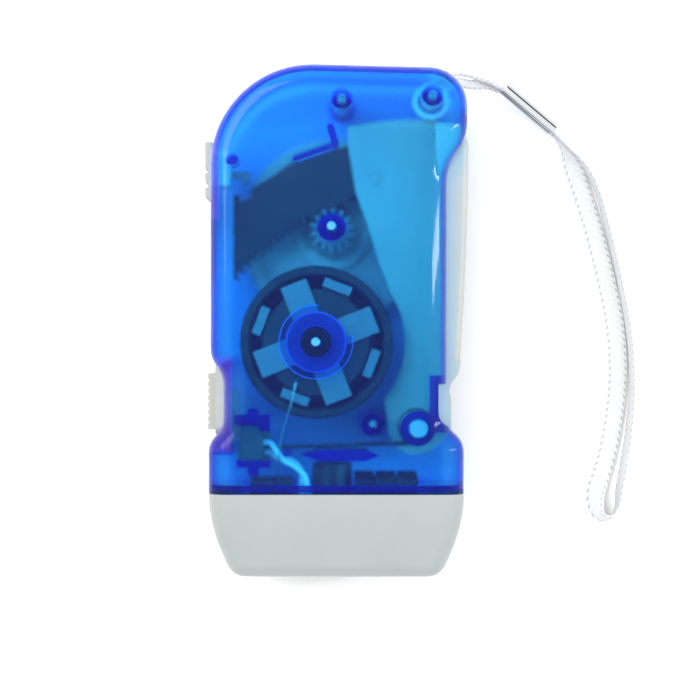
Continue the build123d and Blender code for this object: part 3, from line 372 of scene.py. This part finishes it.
def metal(name, colour, rough, streak, streak_mm, bump_m=0.000008, specks=None):
    """A bare metal with drawn, ground or cast marks stretched along an axis."""
    made, tree, output = new_material(name)
    place = add(tree, "ShaderNodeTexCoord")
    stretch = add(tree, "ShaderNodeMapping", {"Vector": place.outputs["Object"],
                                              "Scale": streak})
    marks = add(tree, "ShaderNodeTexNoise", {"Vector": stretch.outputs[0],
                                             "Scale": 1000 / streak_mm, "Detail": 5.0,
                                             "Roughness": 0.65})
    stain = add(tree, "ShaderNodeTexNoise", {"Vector": place.outputs["Object"], "Scale": 160.0,
                                             "Detail": 3.0})
    tone = add(tree, "ShaderNodeMix",
               {"Factor": stain.outputs[0], 6: linear(specks or colour), 7: linear(colour)},
               data_type="RGBA")
    dull = add(tree, "ShaderNodeMapRange", {"Value": marks.outputs[0], "From Min": 0.3,
                                            "From Max": 0.7, "To Min": max(0.03, rough - 0.08),
                                            "To Max": rough + 0.08})
    bump = add(tree, "ShaderNodeBump", {"Height": marks.outputs[0], "Strength": 0.4,
                                        "Distance": bump_m})
    shader = add(tree, "ShaderNodeBsdfPrincipled", {"Base Color": tone.outputs[2],
                                                    "Metallic": 1.0,
                                                    "Roughness": dull.outputs[0],
                                                    "Normal": bump.outputs[0]})
    tree.links.new(shader.outputs[0], output.inputs["Surface"])
    return made


dress(metal("vacuum_aluminised_reflector", "dfe1e4", 0.12, (1, 1, 1), 1.5, 0.000004), "reflector")

led_epoxy, tree, output = new_material("cast_clear_epoxy")
place = add(tree, "ShaderNodeTexCoord")
depth = add(tree, "ShaderNodeSeparateXYZ", {"Vector": place.outputs["Object"]})
# the die and its phosphor sit near the base, so the epoxy is yellowish there and clear at the nose
die_y = (-0.0462, -0.0425)
phosphor = add(tree, "ShaderNodeMapRange", {"Value": depth.outputs["Y"], "From Min": die_y[0],
                                            "From Max": die_y[1], "To Min": 0.0, "To Max": 1.0})
tone = add(tree, "ShaderNodeMix",
           {"Factor": phosphor.outputs[0], 6: linear("f1f5f4"), 7: linear("e6d878")},
           data_type="RGBA")
epoxy = add(tree, "ShaderNodeBsdfPrincipled", {"Base Color": tone.outputs[2], "Roughness": 0.08})
through = add(tree, "ShaderNodeBsdfTransparent", {"Color": (0.97, 0.97, 0.94, 1.0)})
cast = add(tree, "ShaderNodeMixShader", {0: 0.45, 1: through.outputs[0], 2: epoxy.outputs[0]})
tree.links.new(cast.outputs[0], output.inputs["Surface"])
dress(led_epoxy, "leds")

# ---- boards and electronics ----------------------------------------------------------------------
# Two small glass fibre boards under green solder mask. The capacitor and the row of three button
# cells are shrunk into black vinyl, the rectifier is black epoxy, and the slide switch has a body
# of dark green phenolic.


def board(name, mask, weave_mm):
    """Solder mask over glass cloth, which shows as a faint square weave, with tinned tracks."""
    made, tree, output = new_material(name)
    weave_dark = [c * 0.86 for c in linear(mask)[:3]] + [1.0]
    track_light = [min(1.0, c * 1.35) for c in linear(mask)[:3]] + [1.0]
    place = add(tree, "ShaderNodeTexCoord")
    weave = add(tree, "ShaderNodeTexChecker", {"Vector": place.outputs["Object"],
                                               "Scale": 1000 / weave_mm})
    tracks = add(tree, "ShaderNodeTexBrick", {"Vector": place.outputs["Object"],
                                              "Scale": 130.0, "Mortar Size": 0.06})
    tone = add(tree, "ShaderNodeMix",
               {"Factor": weave.outputs["Fac"], 6: linear(mask), 7: weave_dark},
               data_type="RGBA")
    lines = add(tree, "ShaderNodeMix",
                {"Factor": tracks.outputs["Fac"], 6: tone.outputs[2], 7: track_light},
                data_type="RGBA")
    bump = add(tree, "ShaderNodeBump", {"Height": tracks.outputs["Fac"], "Strength": 0.5,
                                        "Distance": 0.00004})
    shader = add(tree, "ShaderNodeBsdfPrincipled", {"Base Color": lines.outputs[2],
                                                    "Roughness": 0.35,
                                                    "Normal": bump.outputs[0]})
    tree.links.new(shader.outputs[0], output.inputs["Surface"])
    return made


dress(board("green_solder_mask_on_glass_fibre", "5d8f74", 0.5), "lamp_board", "switch_board")
dress(moulded("shrunk_black_vinyl_sleeve", "202327", "17191c", 0.5, 0.35, 0.00003, 3.0),
      "capacitor", "button_cells")
dress(moulded("black_epoxy_moulding", "2b2d31", "1f2124", 0.12, 0.55), "rectifier")
dress(moulded("dark_green_phenolic", "33524c", "294540", 0.2, 0.5), "switch_body")

# ---- gear train -------------------------------------------------------------------------------
# The big gear and the flywheel's pinion are natural acetal, waxy and off white. The drive pinion
# and its clutch pawls are a blue grey acetal. The rack is black glass filled nylon, held to the
# lever by two grey pegs whose heads are formed with heat.


def acetal(name, colour, deep):
    """Natural acetal: waxy, with light soaking a little way in."""
    made = moulded(name, colour, deep, 0.3, 0.35, mottle_mm=4.0)
    shader = next(n for n in made.node_tree.nodes if n.type == "BSDF_PRINCIPLED")
    shader.inputs["Subsurface Weight"].default_value = 0.2
    shader.inputs["Subsurface Radius"].default_value = (0.0012, 0.0011, 0.001)
    shader.inputs["Subsurface Scale"].default_value = 1.0
    return made


dress(acetal("natural_acetal_moulding", "a6aeb2", "9aa3a8"), "drive_gear", "flywheel_pinion")
dress(acetal("blue_grey_acetal_moulding", "768490", "6c7985"), "drive_pinion", "clutch_pawls")
dress(moulded("black_glass_filled_nylon", "16181b", "0e1012", 0.25, 0.5), "rack_sector")
dress(moulded("heat_staked_grey_abs", "aeb0a9", "a6a9a2", 0.18, 0.45), "rack_rivets")

# ---- generator ----------------------------------------------------------------------------------
# A ring of sintered ferrite on a black disc turns round a coil between two pressed steel plates,
# whose arms are bent along the axle. The coil is copper wire under tape on a black nylon spool,
# on a blackened steel core, and its two fine leads are enamelled. The axles are ground steel.

dress(moulded("sintered_ferrite", "17191c", "0d0e10", 0.10, 0.62, mottle_mm=2.0), "ring_magnet")
dress(moulded("black_abs_disc", "14161a", "0c0d10", 0.25, 0.5), "flywheel_hub")
dress(metal("zinc_plated_pressed_steel", "858c94", 0.45, (1, 1, 0.3), 0.5, specks="787f87"),
      "claw_plate_front", "claw_plate_back")
dress(metal("blackened_steel_core", "1c1e22", 0.5, (1, 1, 1), 0.5), "stator_core")
dress(moulded("black_nylon_spool", "1b1d20", "141619", 0.25, 0.45), "coil_bobbin")
dress(metal("taped_copper_winding", "3a2a24", 0.4, (0.05, 0.05, 1), 0.12, 0.00006),
      "coil_winding")
dress(metal("enamelled_copper_wire", "cfc4c0", 0.3, (1, 1, 1), 0.2), "coil_leads")
dress(metal("ground_steel_axle", "c4c8cc", 0.42, (1, 1, 0.1), 0.3),
      "flywheel_axle", "gear_axle", "lever_pin")

# ---- spring, wires, screws and ferrule -----------------------------------------------------------
# Oil tempered spring wire, pale vinyl insulated leads, and zinc plated screws with cross recesses.
# The strap's ferrule is a sleeve rolled from bright strip and closed on the braid.

dress(metal("oil_tempered_spring_wire", "565b62", 0.25, (1, 1, 1), 0.4), "return_spring")
dress(moulded("pale_vinyl_insulation", "f4f8fa", "e8eef1", 0.4, 0.38), "lead_wires")
dress(metal("zinc_plated_screw", "a7abb0", 0.3, (1, 1, 0.2), 0.4, specks="9a9ea3"), "case_screws")
# painted reflection: a dark line along the ferrule's top and duller lines along its sides stand in
# for what the sleeve reflects: distance of each line from the origin across the sleeve, half its
# width, and its tone
across_ferrule = (0.619, 0.786, 0.0)
painted_reflection_lines = ((0.06321, 0.00017, "33353a"), (0.06448, 0.00013, "4a4d52"),
              (0.06160, 0.00013, "5c5f64"))
sleeve = metal("rolled_bright_nickel_strip", "e2e4e6", 0.10, (0.3, 0.3, 1), 0.5,
               specks="d3d5d8")
tree = sleeve.node_tree
shader = next(n for n in tree.nodes if n.type == "BSDF_PRINCIPLED")
place = add(tree, "ShaderNodeTexCoord")
across = add(tree, "ShaderNodeVectorMath", {0: place.outputs["Object"], 1: across_ferrule},
             operation="DOT_PRODUCT")
shades = shader.inputs["Base Color"].links[0].from_socket
for middle, half_width, colour in painted_reflection_lines:
    line = add(tree, "ShaderNodeMath", {0: across.outputs["Value"], 1: middle, 2: half_width},
               operation="COMPARE")
    tone = add(tree, "ShaderNodeMix",
               {"Factor": line.outputs[0], 6: shades, 7: linear(colour)},
               data_type="RGBA")
    shades = tone.outputs[2]
tree.links.new(shades, shader.inputs["Base Color"])
dress(sleeve, "strap_ferrule")

# ---- wrist strap --------------------------------------------------------------------------------
# A flat braid of white polyester, looped through the hole at the case's corner and closed by the
# ferrule. The run out to the fold stands on its edge, and the run back lies flat on the table. Its
# length is followed round the loop in the photograph.

strap_route = (
    (20.99, 49.88, 15.05), (23.5, 53.74, 15.1), (30.1, 53.45, 10.3), (35.68, 52.10, 6.37),
    (49.95, 40.87, 2.80), (56.8, 31.8, 2.2), (59.9, 20.3, 2.2), (62.6, 8.5, 2.2),
    (64.7, -3.2, 2.2), (65.3, -15.0, 2.2), (64.2, -26.0, 2.2), (62.9, -33.2, 2.2),
    (62.2, -37.3, 2.2), (61.8, -41.1, 2.2), (60.6, -43.1, 2.1), (58.2, -43.0, 1.8),
    (57.0, -41.0, 1.4), (56.9, -37.2, 1.0), (59.3, -31.0, 0.6), (61.5, -19.9, 0.5),
    (62.2, -9.0, 0.5), (61.2, 1.5, 0.5), (58.9, 11.8, 0.5), (56.3, 22.0, 0.5),
    (53.2, 31.5, 0.6), (49.67, 41.09, 1.04), (35.40, 52.32, 4.61), (28.7, 51.4, 8.3),
    (24.29, 51.5, 14.75), (22.56, 48.84, 14.95),
)


def spline_points(name, route):
    """Points along the smooth curve that has this route, in millimetres, as control points."""
    curve = bpy.data.curves.new(name, "CURVE")
    curve.dimensions = "3D"
    curve.resolution_u = 24
    spline = curve.splines.new("NURBS")
    spline.points.add(len(route) - 1)
    for point, place in zip(spline.points, route):
        point.co = (place[0] / 1000, place[1] / 1000, place[2] / 1000, 1)
    spline.order_u = 3
    spline.use_endpoint_u = True
    holder = bpy.data.objects.new(name, curve)
    mesh = bpy.data.meshes.new_from_object(holder)
    points = [vertex.co.copy() for vertex in mesh.vertices]
    bpy.data.meshes.remove(mesh)
    bpy.data.objects.remove(holder)
    bpy.data.curves.remove(curve)
    return points


def even_steps(points, step):
    """The same line with points an even step apart, and its whole length."""
    lengths = [0.0]
    for a, b in zip(points, points[1:]):
        lengths.append(lengths[-1] + (b - a).length)
    count = max(2, round(lengths[-1] / step))
    found, k = [], 0
    for i in range(count + 1):
        at = lengths[-1] * i / count
        while k < len(points) - 2 and lengths[k + 1] < at:
            k += 1
        share = (at - lengths[k]) / max(lengths[k + 1] - lengths[k], 1e-9)
        found.append(points[k].lerp(points[k + 1], min(1.0, max(0.0, share))))
    return found, lengths[-1]


def ramp(value, stops):
    """Smooth interpolation between (position, result) stops."""
    for (a, low), (b, high) in zip(stops, stops[1:]):
        if value <= b:
            share = min(1.0, max(0.0, (value - a) / (b - a)))
            share = share * share * (3 - 2 * share)
            return low + (high - low) * share
    return stops[-1][1]


def mesh_piece(name, verts, faces, material, smooth=True):
    """A mesh object in the scene."""
    mesh = bpy.data.meshes.new(name)
    mesh.from_pydata(verts, [], faces)
    mesh.materials.append(material)
    mesh.polygons.foreach_set("use_smooth", [smooth] * len(mesh.polygons))
    mesh.update()
    made = bpy.data.objects.new(name, mesh)
    bpy.context.scene.collection.objects.link(made)
    return made


braid_step = 0.00030
strap_line, strap_length = even_steps(spline_points("strap_route", strap_route), braid_step)
mm = 1000.0
total = strap_length * mm
# along the strap, in millimetres from its start: inside the case, hole, ferrule, run out, fold,
# run back, ferrule, hole. Each pair is a place and the half width or half thickness there.
neck_end = 34.5
half_wide = [(0, 1.0), (9, 1.0), (12, 1.12), (17, 1.12), (20, 0.72), (neck_end, 0.72),
             (neck_end + 9, 2.2), (total - neck_end - 9, 2.2), (total - neck_end, 0.72),
             (total - 20, 0.72), (total - 17, 1.12), (total - 12, 1.12), (total - 9, 1.0),
             (total, 1.0)]
half_thick = [(0, 0.7), (neck_end, 0.72), (neck_end + 9, 0.42), (total - neck_end - 9, 0.42),
              (total - neck_end, 0.72), (total, 0.7)]
# the turn of the braid about its line, in degrees: 0 lies flat and 90 stands on its edge
fold_start = 117.0
lie = [(0, 0.0), (neck_end, 60.0), (neck_end + 12, 96.0), (fold_start - 30, 98.0),
       (fold_start, 104.0), (fold_start + 22, 0.0), (total, 0.0)]

# the plait's own sizes: pitch along the braid in millimetres, and how far a yarn lags at the edge
plait_pitch = 1.55
plait_slant = 1.35

white_braid, tree, output = new_material("bleached_polyester_braid")
# the yarns give a fine sheen; the diagonal gaps between them get painted shade, a little greyer
place = add(tree, "ShaderNodeTexCoord")
yarn = add(tree, "ShaderNodeTexNoise", {"Vector": place.outputs["Object"], "Scale": 2600.0,
                                        "Detail": 3.0, "Roughness": 0.6})
slub = add(tree, "ShaderNodeTexNoise", {"Vector": place.outputs["Object"], "Scale": 240.0,
                                        "Detail": 2.0})
fibre = add(tree, "ShaderNodeMix",
            {"Factor": yarn.outputs[0], 6: linear("c6c8ca"), 7: linear("e6e6e5")},
            data_type="RGBA")
# the mesh's map runs along the braid in millimetres and across it from -1 to 1
weave = add(tree, "ShaderNodeSeparateXYZ", {"Vector": place.outputs["UV"]})
out = add(tree, "ShaderNodeMath", {0: weave.outputs["Y"]}, operation="ABSOLUTE")
slant = add(tree, "ShaderNodeMath", {0: out.outputs[0], 1: plait_slant}, operation="MULTIPLY")
turns = add(tree, "ShaderNodeMath", {0: weave.outputs["X"], 1: 1 / plait_pitch,
                                     2: slant.outputs[0]},
            operation="MULTIPLY_ADD")
saw = add(tree, "ShaderNodeMath", {0: turns.outputs[0]}, operation="FRACT")
lag = add(tree, "ShaderNodeMath", {0: saw.outputs[0], 1: 0.5}, operation="SUBTRACT")
apart = add(tree, "ShaderNodeMath", {0: lag.outputs[0]}, operation="ABSOLUTE")
# painted shade in the grooves, up to this share of the grey
painted_groove_shade = add(tree, "ShaderNodeMapRange", {"Value": apart.outputs[0], "From Min": 0.02,
                                          "From Max": 0.16, "To Min": 0.17, "To Max": 0.0})
# in the bunched neck the yarns stand apart and the painted shade in the grooves is darker. It ends
# and starts again this far along the braid, in millimetres.
neck_reach = (24.0, 225.0)
neck_darker = 1.2
start = add(tree, "ShaderNodeMath", {0: weave.outputs["X"], 1: neck_reach[0]},
            operation="LESS_THAN")
finish = add(tree, "ShaderNodeMath", {0: weave.outputs["X"], 1: neck_reach[1]},
             operation="GREATER_THAN")
neck = add(tree, "ShaderNodeMath", {0: start.outputs[0], 1: finish.outputs[0]},
           operation="ADD")
open_yarn = add(tree, "ShaderNodeMath", {0: neck.outputs[0], 1: neck_darker, 2: 1.0},
                operation="MULTIPLY_ADD")
painted_groove_shade = add(tree, "ShaderNodeMath", {0: painted_groove_shade.outputs[0], 1: open_yarn.outputs[0]},
             operation="MULTIPLY")
# painted shade: a row of small holes near each edge, where the outer yarns turn back, painted grey
hole_row = 0.78
from_row = add(tree, "ShaderNodeMath", {0: out.outputs[0], 1: hole_row},
               operation="SUBTRACT")
off_row = add(tree, "ShaderNodeMath", {0: from_row.outputs[0]}, operation="ABSOLUTE")
in_row = add(tree, "ShaderNodeMapRange", {"Value": off_row.outputs[0], "From Min": 0.05,
                                          "From Max": 0.13, "To Min": 1.0, "To Max": 0.0})
gap = add(tree, "ShaderNodeMapRange", {"Value": apart.outputs[0], "From Min": 0.14,
                                       "From Max": 0.26, "To Min": 1.0, "To Max": 0.0})
hole = add(tree, "ShaderNodeMath", {0: in_row.outputs[0], 1: gap.outputs[0]},
           operation="MULTIPLY")
# the painted shade of the grooves and of the holes, mixed in as one grey
dark = add(tree, "ShaderNodeMath", {0: painted_groove_shade.outputs[0], 1: hole.outputs[0]},
           operation="MAXIMUM")
tone = add(tree, "ShaderNodeMix",
           {"Factor": dark.outputs[0], 6: fibre.outputs[2], 7: linear("a4a7ab")},
           data_type="RGBA")
shade = add(tree, "ShaderNodeMix",
            {"Factor": slub.outputs[0], 6: tone.outputs[2], 7: linear("f4f4f4")},
            data_type="RGBA", blend_type="MULTIPLY")
bump = add(tree, "ShaderNodeBump", {"Height": yarn.outputs[0], "Strength": 0.5,
                                    "Distance": 0.00006})
cloth = add(tree, "ShaderNodeBsdfPrincipled", {"Roughness": 0.82, "Base Color": shade.outputs[2],
                                               "Normal": bump.outputs[0],
                                               "Sheen Weight": 0.25, "Sheen Roughness": 0.4})
tree.links.new(cloth.outputs[0], output.inputs["Surface"])


dimple = 0.10
dimple_row = 0.70
ridge_height = 0.07


def plait(u, v):
    """Height of the braid, in millimetres, at u along it and v across it, from -1 to 1."""
    slant = plait_slant * abs(v)
    ridge = math.cos(2 * math.pi * (u / plait_pitch + slant))
    spine = -0.10 * math.exp(-(abs(v) / dimple) ** 2)
    hole = -0.20 * math.exp(-((abs(v) - dimple_row) / dimple) ** 2) * max(0.0, -ridge)
    return ridge_height * ridge * (1 - abs(v) ** 4) + spine + hole


section_power = 0.75


def strap_across(j, around):
    """Place of one corner of the section across the braid, from -1 to 1."""
    side = math.cos(2 * math.pi * j / around)
    return math.copysign(abs(side) ** section_power, side)


def braid_section(at, around):
    """Across and up offsets of one section of the braid, in millimetres."""
    wide, thick = ramp(at, half_wide), ramp(at, half_thick)
    offsets = []
    for j in range(around):
        angle = 2 * math.pi * j / around
        across = strap_across(j, around)
        up = math.copysign(abs(math.sin(angle)) ** section_power, math.sin(angle))
        height = plait(at, across) * min(1.0, wide / 2.2 + 0.25)
        offsets.append((wide * across, up * (thick + height)))
    return offsets


def strap_mesh(name, line, step, material, around=28):
    """The braid swept along a line, turned about the line as it lies."""
    verts, faces = [], []
    count = len(line)
    for i, centre in enumerate(line):
        ahead = line[min(i + 1, count - 1)] - line[max(i - 1, 0)]
        ahead.normalize()
        side = ahead.cross(Vector((0, 0, 1)))
        side.normalize()
        over = side.cross(ahead)
        at = i * step
        turn = math.radians(ramp(at, lie))
        wide_way = side * math.cos(turn) + over * math.sin(turn)
        thick_way = over * math.cos(turn) - side * math.sin(turn)
        for across, up in braid_section(at, around):
            spot = centre + wide_way * (across / mm) + thick_way * (up / mm)
            verts.append(spot)
    for i in range(count - 1):
        for j in range(around):
            k = (j + 1) % around
            faces.append((i * around + j, i * around + k,
                          (i + 1) * around + k, (i + 1) * around + j))
    faces.append(tuple(range(around))[::-1])
    faces.append(tuple((count - 1) * around + j for j in range(around)))
    made = mesh_piece(name, verts, faces, material)
    layer = made.data.uv_layers.new(name="braid")
    for loop in made.data.loops:
        i, j = divmod(loop.vertex_index, around)
        layer.data[loop.index].uv = (i * step, strap_across(j, around))
    return made


table_clearance = 0.00002
strap = strap_mesh("wrist_strap", strap_line, total / (len(strap_line) - 1), white_braid)
for vertex in strap.data.vertices:
    vertex.co.z = max(vertex.co.z, table_clearance)
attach(strap, "housing")
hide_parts("strap_cord")

# ---- strap inside the case ----------------------------------------------------------------------
# The braid is bunched into a ring where it goes round the corner post.

knot_centre = Vector((0.0198, 0.0464, 0.015))
knot_radius = 0.00315
yarn_radius, yarn_ridge, yarn_turns = 0.72, 0.06, 13
ring_count, ring_around = 120, 20
verts, faces = [], []
for i in range(ring_count):
    angle = 2 * math.pi * i / ring_count
    out = Vector((math.cos(angle), math.sin(angle), 0))
    for j in range(ring_around):
        turn = 2 * math.pi * j / ring_around
        ridge = yarn_ridge * math.cos(2 * math.pi * i / ring_count * yarn_turns + 2 * turn)
        radius = (yarn_radius + ridge) / mm
        verts.append(knot_centre + out * (knot_radius + radius * math.cos(turn))
                     + Vector((0, 0, radius * math.sin(turn))))
for i in range(ring_count):
    for j in range(ring_around):
        k, n = (j + 1) % ring_around, (i + 1) % ring_count
        faces.append((i * ring_around + j, n * ring_around + j,
                      n * ring_around + k, i * ring_around + k))
knot = mesh_piece("strap_ring_on_post", verts, faces, white_braid)
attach(knot, "housing")
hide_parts("strap_knot")
